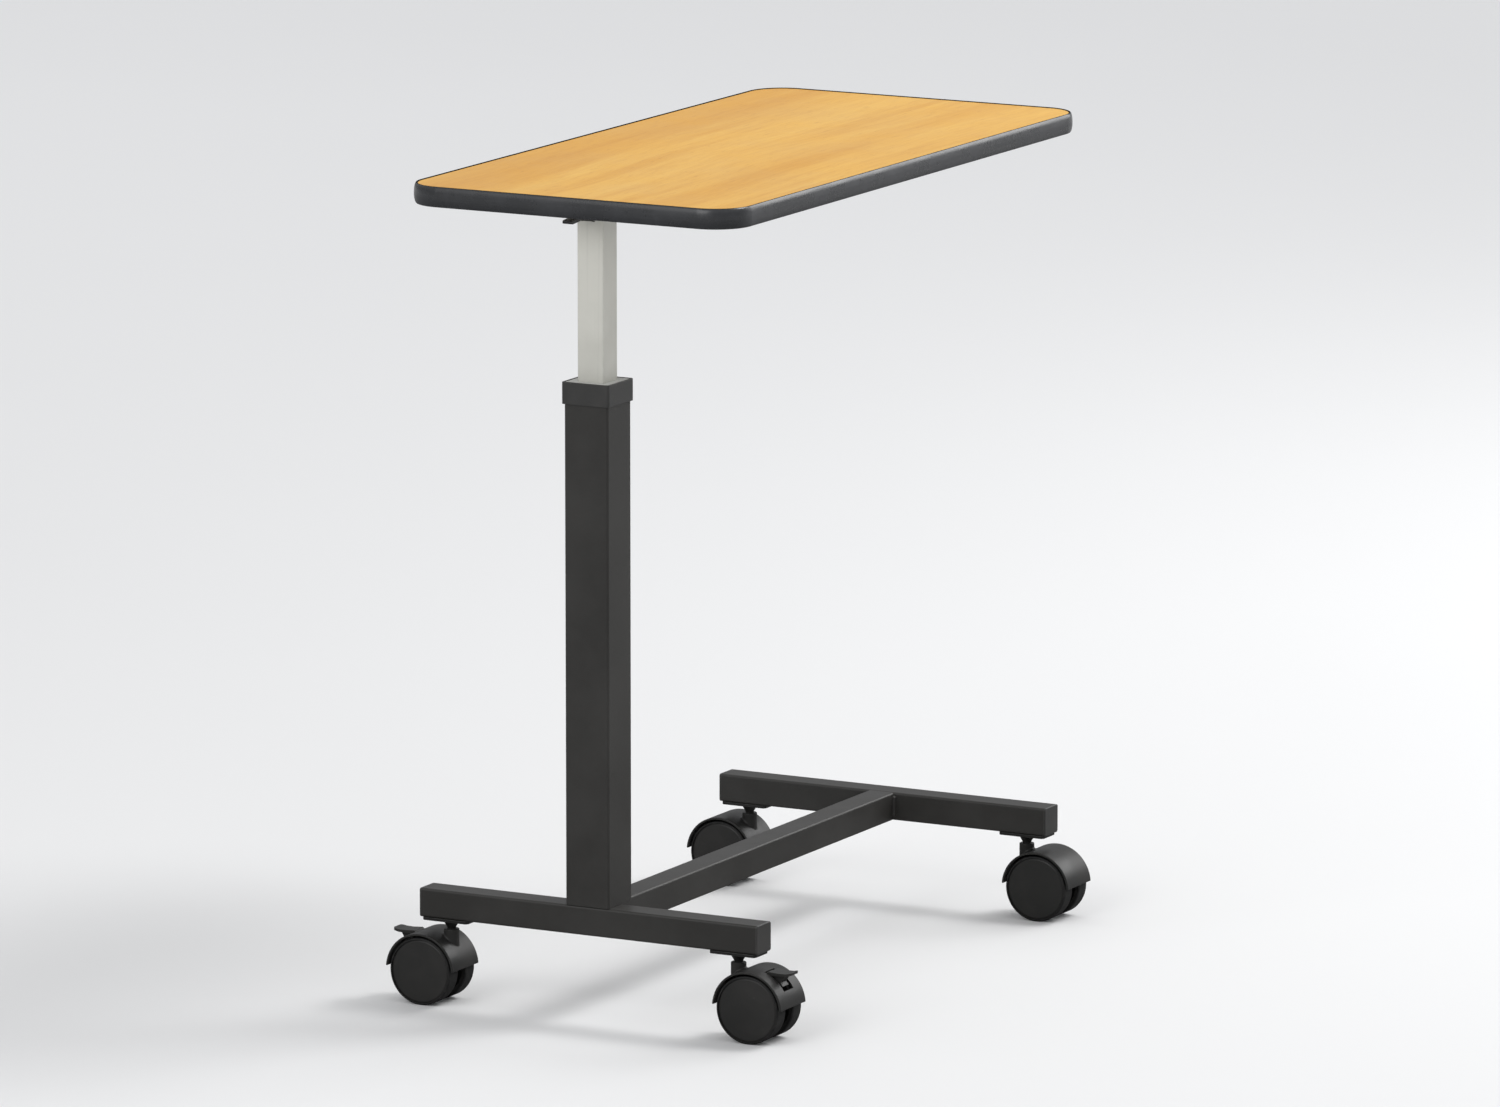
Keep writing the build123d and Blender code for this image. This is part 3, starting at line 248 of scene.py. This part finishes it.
def bumper_vinyl():
    """Extruded charcoal vinyl: faint lines, a fine skin, rubs, a butt joint, and a crest painted dark as
    shade and stripped of gloss.
    """
    g = Graph("bumper_vinyl")
    lines = g.noise(900.0, detail=2.0, vector=g.stretched((0.03, 0.03, 1.0)))
    skin = g.noise(1500.0, detail=2.0)
    rubs = g.noise(16.0, detail=6.0, roughness=0.68)
    tone = g.mix(g.level(rubs, 0.42, 0.72), srgb(40, 41, 43), srgb(50, 51, 54))
    tone = g.mix(g.level(lines, 0.55, 0.75, 0.0, 0.25), tone, srgb(62, 63, 66))
    parts = g.node("ShaderNodeSeparateXYZ", {0: g.place}).outputs
    beside = g.level(g.math("ABSOLUTE", parts[0]), 0.0006, 0.0003)
    seam = g.math("MULTIPLY", beside, g.math("GREATER_THAN", parts[1], BOARD_HALF.y - SEAM_INSET))
    tone = g.mix(seam, tone, srgb(14, 14, 15))
    shade_and_dull = bumper_shade_and_dulling(g, parts)
    # painted shade: the crest and the rim's inner wall are darkened nearly to black; the same mask also
    # takes their gloss away
    tone = g.mix(g.math("MULTIPLY", shade_and_dull, 0.9), tone, srgb(12, 11, 11))
    height = g.math("ADD", g.math("MULTIPLY", lines, 0.6), g.math("MULTIPLY", skin, 0.4))
    height = g.math("SUBTRACT", height, g.math("MULTIPLY", seam, 6.0))
    return g.set(
        Base_Color=tone,
        Roughness=g.level(rubs, 0.34, 0.72, 0.24, 0.36),
        Specular_IOR_Level=g.level(shade_and_dull, 0.0, 1.0, 0.5, 0.0),
        Normal=g.bump(height, 0.00005, 0.35, edge=0.0002),
    )


def coat(name, dark, light, worn, rough, peel=0.00012, wear=0.35):
    """Powder coat: orange peel, a fine sparkle of tone, cloudy gloss and lighter worn edges."""
    g = Graph(name)
    orange_peel = g.noise(620.0, detail=3.0, roughness=0.55)
    grit = g.noise(2600.0, detail=2.0)
    clouds = g.noise(9.0, detail=5.0, roughness=0.6)
    scuffs = g.noise(60.0, detail=6.0, roughness=0.75, vector=g.stretched((1.0, 1.0, 0.25)))
    tone = g.mix(g.level(clouds, 0.34, 0.68), dark, light)
    tone = g.mix(g.level(grit, 0.60, 0.78, 0.0, 0.25), tone, worn)
    edge = g.math("MULTIPLY", g.edges(0.0012), g.level(scuffs, 0.36, 0.66))
    tone = g.mix(g.math("MULTIPLY", edge, wear), tone, worn)
    tone = g.mix(g.level(scuffs, 0.66, 0.78, 0.0, 0.08), tone, worn)
    height = g.math("ADD", orange_peel, g.math("MULTIPLY", grit, 0.25))
    return g.set(
        Base_Color=tone,
        Roughness=g.level(clouds, 0.30, 0.72, rough - 0.05, rough + 0.06),
        Specular_IOR_Level=0.38,
        Normal=g.bump(height, peel, 0.8, edge=0.001),
    )


def black_powder_coat():
    """The frame's satin charcoal coat."""
    return coat("black_powder_coat", srgb(42, 41, 39), srgb(49, 48, 46), srgb(88, 86, 82), 0.46)


def grey_tube():
    """The inner tube's light grey coat, smoother than the frame's, with faint marks from sliding."""
    g = Graph("grey_tube")
    clouds = g.noise(11.0, detail=4.0, roughness=0.55)
    slides = g.noise(420.0, detail=3.0, roughness=0.6, vector=g.stretched((1.0, 1.0, 0.012)))
    peel = g.noise(900.0, detail=2.0)
    tone = g.mix(g.level(clouds, 0.34, 0.68), srgb(188, 187, 179), srgb(200, 199, 191))
    tone = g.mix(g.level(slides, 0.58, 0.74, 0.0, 0.16), tone, srgb(154, 153, 147))
    # painted highlight: a paler grey along every sharp edge
    tone = g.mix(g.math("MULTIPLY", g.edges(0.001), 0.25), tone, srgb(220, 219, 212))
    height = g.math("ADD", g.math("MULTIPLY", peel, 0.7), g.math("MULTIPLY", slides, 0.3))
    return g.set(
        Base_Color=tone,
        Metallic=0.15,
        Roughness=g.level(slides, 0.35, 0.72, 0.34, 0.46),
        Normal=g.bump(height, 0.00003, 0.6),
    )


def zinc_steel():
    """Zinc plate: a faint crystalline mottle, brushed by handling."""
    g = Graph("zinc_steel")
    cells = g.node("ShaderNodeTexVoronoi", {"Vector": g.place, "Scale": 260.0})
    spangle = g.node("ShaderNodeSeparateColor", {0: cells.outputs["Color"]}).outputs[0]
    haze = g.noise(90.0, detail=4.0, roughness=0.6)
    tone = g.mix(g.level(haze, 0.35, 0.7), srgb(150, 152, 156), srgb(186, 187, 186))
    tone = g.mix(g.math("MULTIPLY", spangle, 0.25), tone, srgb(206, 206, 202))
    return g.set(
        Base_Color=tone,
        Metallic=0.9,
        Roughness=g.level(haze, 0.3, 0.7, 0.30, 0.48),
        Normal=g.bump(spangle, 0.00002, 0.5, edge=0.0003),
    )


def chromed_rod():
    """Hard chrome with fine polishing rings and a thin film of oil."""
    g = Graph("chromed_rod")
    rings = g.noise(2600.0, detail=2.0, vector=g.stretched((0.05, 0.05, 1.0)))
    film = g.noise(30.0, detail=4.0)
    return g.set(
        Base_Color=g.mix(g.level(film, 0.35, 0.7), srgb(206, 208, 211), srgb(190, 190, 186)),
        Metallic=1.0,
        Roughness=g.level(film, 0.3, 0.7, 0.12, 0.24),
        Normal=g.bump(rings, 0.00001, 0.5, edge=0.0003),
    )


def black_steel():
    """Pressed plates and stems, under thin black paint."""
    return coat("black_steel", srgb(25, 25, 24), srgb(32, 31, 30), srgb(92, 90, 86), 0.42, 0.00008, 0.5)


def moulded(name, dark, light, rough, spark=0.3, gloss=0.4):
    """Moulded plastic: spark-eroded skin, faint flow marks, dust and a painted highlight along its sharp
    edges.
    """
    g = Graph(name)
    skin = g.noise(1900.0, detail=3.0, roughness=0.65)
    flow = g.noise(22.0, detail=4.0, roughness=0.55, distortion=0.6)
    dust = g.noise(130.0, detail=6.0, roughness=0.72)
    tone = g.mix(g.level(flow, 0.35, 0.68), dark, light)
    tone = g.mix(g.level(dust, 0.60, 0.80, 0.0, 0.16), tone, srgb(96, 94, 90))
    # painted highlight: a lighter grey along every sharp edge, its strength set by spark
    tone = g.mix(g.math("MULTIPLY", g.edges(0.0009), spark), tone, srgb(80, 79, 76))
    return g.set(
        Base_Color=tone,
        Roughness=g.level(flow, 0.3, 0.7, rough - 0.06, rough + 0.07),
        Specular_IOR_Level=gloss,
        Normal=g.bump(skin, 0.00005, 0.7),
    )


def pale_nylon():
    """The bushing's natural nylon, slightly milky."""
    g = Graph("pale_nylon")
    cloud = g.noise(70.0, detail=4.0)
    return g.set(
        Base_Color=g.mix(g.level(cloud, 0.35, 0.7), srgb(188, 189, 186), srgb(204, 205, 202)),
        Roughness=g.level(cloud, 0.3, 0.7, 0.42, 0.55),
        Subsurface_Weight=0.05,
        Subsurface_Radius=(0.002, 0.002, 0.002),
        Normal=g.bump(g.noise(1700.0), 0.00003, 0.5),
    )


def black_nylon():
    """Collar, end caps and glide."""
    return moulded("black_nylon", srgb(47, 47, 46), srgb(54, 53, 52), 0.40)


def black_vinyl():
    """The grip's dipped skin: smooth, with small sags."""
    return moulded("black_vinyl", srgb(22, 22, 22), srgb(28, 28, 28), 0.36, 0.1)


def caster_nylon():
    """Caster hoods, wheel discs and pedals."""
    return moulded("caster_nylon", srgb(39, 39, 38), srgb(45, 44, 43), 0.42, gloss=0.24)


def caster_tread():
    """Soft tread: matt, dusty, and rubbed lighter where it rolls."""
    g = Graph("caster_tread")
    dust = g.noise(160.0, detail=7.0, roughness=0.75)
    skin = g.noise(1300.0, detail=3.0)
    tone = g.mix(g.level(dust, 0.42, 0.78), srgb(20, 20, 20), srgb(46, 45, 43))
    return g.set(
        Base_Color=tone,
        Roughness=g.level(dust, 0.3, 0.75, 0.56, 0.74),
        Specular_IOR_Level=0.35,
        Normal=g.bump(skin, 0.00006, 0.7),
    )


FINISHES = {
    "wood_laminate": wood_laminate,
    "particle_board": particle_board,
    "backing_sheet": backing_sheet,
    "bumper_vinyl": bumper_vinyl,
    "black_powder_coat": black_powder_coat,
    "grey_tube": grey_tube,
    "zinc_steel": zinc_steel,
    "chromed_rod": chromed_rod,
    "black_steel": black_steel,
    "pale_nylon": pale_nylon,
    "black_nylon": black_nylon,
    "black_vinyl": black_vinyl,
    "caster_nylon": caster_nylon,
    "caster_tread": caster_tread,
}
MATERIALS = {slot: build() for slot, build in FINISHES.items()}


def finish_cad_nodes():
    """Gives each CAD node the material of its slot in the record."""
    for part in frame["record"]["subparts"]:
        node = frame["nodes"][part["node"]]
        node.data.materials.clear()
        node.data.materials.append(MATERIALS[part["material_slot"]])


finish_cad_nodes()

# ---------------------------------------------------------------- weld beads

BEAD_LEG = 0.0032
BEAD_STEP = 0.0004
BEAD_SIDES = 7
BEAD_SINK = 0.0004
BEAD_INSET = 0.003
RIPPLE_LENGTH = 0.0019
RIPPLE_HEIGHT = 0.075
RIPPLE_CHANCE = 0.012
WANDER_HEIGHT = 0.05
WANDER_RATE = 310
TAPER_START = 0.35
TAPER_LENGTH = 0.0025
VALLEY_LEVEL = 0.92


def bead_sections(start, end, first, second, chance):
    """Rows of points along a corner: each crosses from one wall to the other, rippled like a weld."""
    start, end, first, second = (Vector(v) for v in (start, end, first, second))
    length = (end - start).length
    steps = round(length / BEAD_STEP)
    drift = chance.uniform(0.0, math.tau)
    rows = []
    for step in range(steps + 1):
        run = length * step / steps
        wave = abs(math.sin(math.pi * run / RIPPLE_LENGTH))
        ripple = RIPPLE_HEIGHT * wave + RIPPLE_CHANCE * chance.random()
        wander = WANDER_HEIGHT * math.sin(run * WANDER_RATE + drift)
        taper = min(1.0, TAPER_START + min(run, length - run) / TAPER_LENGTH)
        leg = BEAD_LEG * (VALLEY_LEVEL + ripple + wander) * taper
        corner = start.lerp(end, run / length)
        row = [corner + second * leg - first * BEAD_SINK]
        for side in range(BEAD_SIDES):
            turn = math.pi / 2 * side / (BEAD_SIDES - 1)
            row.append(corner + (second * math.cos(turn) + first * math.sin(turn)) * leg)
        row.append(corner + first * leg - second * BEAD_SINK)
        row.append(corner - (first + second) * BEAD_SINK)
        rows.append(row)
    return rows


def closed_strip(rows, base):
    """Faces that join rows of a closed section into a solid bead, with its vertices from base on."""
    width = len(rows[0])
    faces = []
    for k in range(len(rows) - 1):
        for i in range(width):
            j = (i + 1) % width
            low, high = base + k * width, base + (k + 1) * width
            faces.append((low + i, low + j, high + j, high + i))
    faces.append(tuple(base + i for i in reversed(range(width))))
    faces.append(tuple(base + (len(rows) - 1) * width + i for i in range(width)))
    return faces


def turn_outwards(mesh):
    """Turns every face outwards."""
    shape = bmesh.new()
    shape.from_mesh(mesh)
    bmesh.ops.recalc_face_normals(shape, faces=shape.faces)
    shape.to_mesh(mesh)
    shape.free()


def build_welds(name, corners, body):
    """One piece that holds a bead in each corner: where it runs, and the two walls' directions."""
    chance = random.Random(name)
    points, faces = [], []
    for corner in corners:
        rows = bead_sections(*corner, chance)
        faces += closed_strip(rows, len(points))
        points += [point for row in rows for point in row]
    mesh = bpy.data.meshes.new(name)
    mesh.from_pydata(points, [], faces)
    mesh.shade_smooth()
    welds = bpy.data.objects.new(name, mesh)
    bpy.context.scene.collection.objects.link(welds)
    turn_outwards(mesh)
    mesh.materials.append(MATERIALS["black_powder_coat"])
    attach(welds, body)


def base_weld_corners():
    """Beads behind the column's foot, and at both ends of the centre beam."""
    column_low, column_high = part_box("outer_column")
    beam_low, beam_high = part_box("centre_beam")
    heights = (beam_low.z + BEAD_INSET, beam_high.z - BEAD_INSET)
    corners = []
    for side in (-1, 1):
        wall = (side, 0, 0)
        x = beam_high.x * side
        for y, facing in ((beam_low.y, (0, 1, 0)), (beam_high.y, (0, -1, 0))):
            corners.append(((x, y, heights[0]), (x, y, heights[1]), facing, wall))
    ends = (beam_low.x + BEAD_INSET, beam_high.x - BEAD_INSET)
    y, foot = column_high.y, column_low.z
    corners.append(((ends[0], y, foot), (ends[1], y, foot), (0, 0, 1), (0, 1, 0)))
    return corners


def tube_weld_corners():
    """Beads round three sides of the inner tube, under the support channel."""
    low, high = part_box("inner_tube")
    ceiling = high.z
    down = (0, 0, -1)
    corners = []
    ends = (low.y + BEAD_INSET, high.y - BEAD_INSET)
    for side in (-1, 1):
        x = high.x * side
        corners.append(((x, ends[0], ceiling), (x, ends[1], ceiling), down, (side, 0, 0)))
    ends = (low.x + BEAD_INSET, high.x - BEAD_INSET)
    corners.append(((ends[0], high.y, ceiling), (ends[1], high.y, ceiling), down, (0, 1, 0)))
    return corners


build_welds("base_welds", base_weld_corners(), "base")
build_welds("tube_welds", tube_weld_corners(), "table_top")

# ---------------------------------------------------------------- stage, light and camera

FLOOR_HALF = 60.0
FLOOR_NEAR_TONE = (0.74, 0.74, 0.74, 1.0)
FLOOR_FAR_TONE = (0.93, 0.93, 0.93, 1.0)
FLOOR_CLOUD_TONE = (0.5, 0.5, 0.5, 1.0)
BLACK = (0.0, 0.0, 0.0, 1.0)
TONE_NEAR = 0.8
TONE_FAR = 6.5
FLAG_NEAR = 0.5
FLAG_FAR = 9.0
FLAG_SHADE = 0.78
WORLD_TONE = (0.93, 0.94, 0.96, 1.0)
WORLD_STRENGTH = 0.70
HORIZON_TOP = 0.5
HORIZON_DIM = 0.4
SUN_PLACE = (1.9, 1.5, 3.0)
SUN_STRENGTH = 0.5
SUN_SPREAD = math.radians(24.0)
# Each softbox: its place, the side of its square, in metres, and its power, in watts.
SOFTBOXES = {
    "key": ((1.75, 1.45, 3.3), 1.1, 45.0),
    "back": ((1.7, 3.6, 2.1), 2.2, 60.0),
    "front": ((-0.6, -3.8, 2.4), 2.2, 52.0),
}
VIEW_AZIMUTH = math.radians(28.0)
VIEW_ELEVATION = math.radians(10.6)
VIEW_DISTANCE = 11.55
LENS = 268.0
FARTHEST = 500.0


def floor_paint():
    """Pale, faintly clouded paint that looks darker near by in reflections, as under a black flag."""
    g = Graph("stage_floor")
    cloud = g.noise(1.1, detail=3.0)
    away = g.node("ShaderNodeVectorMath", {0: g.place}, operation="LENGTH").outputs["Value"]
    shade = g.math("SUBTRACT", 1.0, g.level(away, FLAG_NEAR, FLAG_FAR))
    mirrored = g.node("ShaderNodeLightPath").outputs["Is Glossy Ray"]
    shade = g.math("MULTIPLY", g.math("MULTIPLY", shade, mirrored), FLAG_SHADE)
    pale = g.mix(g.level(away, TONE_NEAR, TONE_FAR), FLOOR_NEAR_TONE, FLOOR_FAR_TONE)
    pale = g.mix(g.math("MULTIPLY", cloud, 0.03), pale, FLOOR_CLOUD_TONE)
    return g.set(Base_Color=g.mix(shade, pale, BLACK), Roughness=0.75, Specular_IOR_Level=0.2)


def build_floor():
    """A plain pale floor that runs to the horizon."""
    signs = ((-1, -1), (1, -1), (1, 1), (-1, 1))
    corners = [(x * FLOOR_HALF, y * FLOOR_HALF, 0.0) for x, y in signs]
    mesh = bpy.data.meshes.new("stage_floor")
    mesh.from_pydata(corners, [], [(0, 1, 2, 3)])
    mesh.materials.append(floor_paint())
    floor = bpy.data.objects.new("stage_floor", mesh)
    bpy.context.scene.collection.objects.link(floor)


def aim(lamp, place, target):
    """Puts a lamp at a place, turned to its target, and adds it to the scene."""
    lamp.location = place
    lamp.rotation_euler = (Vector(target) - Vector(place)).to_track_quat("-Z", "Y").to_euler()
    bpy.context.scene.collection.objects.link(lamp)


def softbox(name, place, target, size, power):
    """A square area lamp, unseen by the camera."""
    data = bpy.data.lights.new(name, "AREA")
    data.shape = "SQUARE"
    data.size = size
    data.energy = power
    lamp = bpy.data.objects.new(name, data)
    lamp.visible_camera = False
    aim(lamp, place, target)


def build_sun(target):
    """A broad, even light with soft shadows, the same all over the floor."""
    data = bpy.data.lights.new("sun", "SUN")
    data.energy = SUN_STRENGTH
    data.angle = SUN_SPREAD
    aim(bpy.data.objects.new("sun", data), SUN_PLACE, target)


def build_world():
    """An even, nearly white surround, dimmer near the horizon in reflections."""
    world = bpy.data.worlds.new("studio")
    world.use_nodes = True
    nodes, links = world.node_tree.nodes, world.node_tree.links
    background = nodes["Background"]
    background.inputs["Color"].default_value = WORLD_TONE
    height = nodes.new("ShaderNodeSeparateXYZ")
    links.new(nodes.new("ShaderNodeTexCoord").outputs["Generated"], height.inputs[0])
    rise = nodes.new("ShaderNodeMapRange")
    links.new(height.outputs["Z"], rise.inputs["Value"])
    rise.inputs["From Max"].default_value = HORIZON_TOP
    rise.inputs["To Min"].default_value = WORLD_STRENGTH * HORIZON_DIM
    rise.inputs["To Max"].default_value = WORLD_STRENGTH
    choice = nodes.new("ShaderNodeMix")
    links.new(nodes.new("ShaderNodeLightPath").outputs["Is Glossy Ray"], choice.inputs["Factor"])
    choice.inputs["A"].default_value = WORLD_STRENGTH
    links.new(rise.outputs["Result"], choice.inputs["B"])
    links.new(choice.outputs["Result"], background.inputs["Strength"])
    bpy.context.scene.world = world


def build_camera(target):
    """The camera looks down at the table's near right-hand corner, through a long lens."""
    away = Vector(
        (
            math.sin(VIEW_AZIMUTH) * math.cos(VIEW_ELEVATION),
            -math.cos(VIEW_AZIMUTH) * math.cos(VIEW_ELEVATION),
            math.sin(VIEW_ELEVATION),
        )
    )
    data = bpy.data.cameras.new("camera")
    data.lens = LENS
    data.clip_end = FARTHEST
    camera = bpy.data.objects.new("camera", data)
    camera.location = target + away * VIEW_DISTANCE
    camera.rotation_euler = (-away).to_track_quat("-Z", "Y").to_euler()
    bpy.context.scene.collection.objects.link(camera)
    bpy.context.scene.camera = camera


def build_stage(target):
    """The floor, the surround, the lamps and the camera, all turned to one point."""
    build_floor()
    build_world()
    build_sun(target)
    for name, (place, size, power) in SOFTBOXES.items():
        softbox(name, place, target, size, power)
    build_camera(target)
    bpy.context.scene.view_settings.view_transform = "Standard"


build_stage((cad_box[0] + cad_box[1]) / 2)
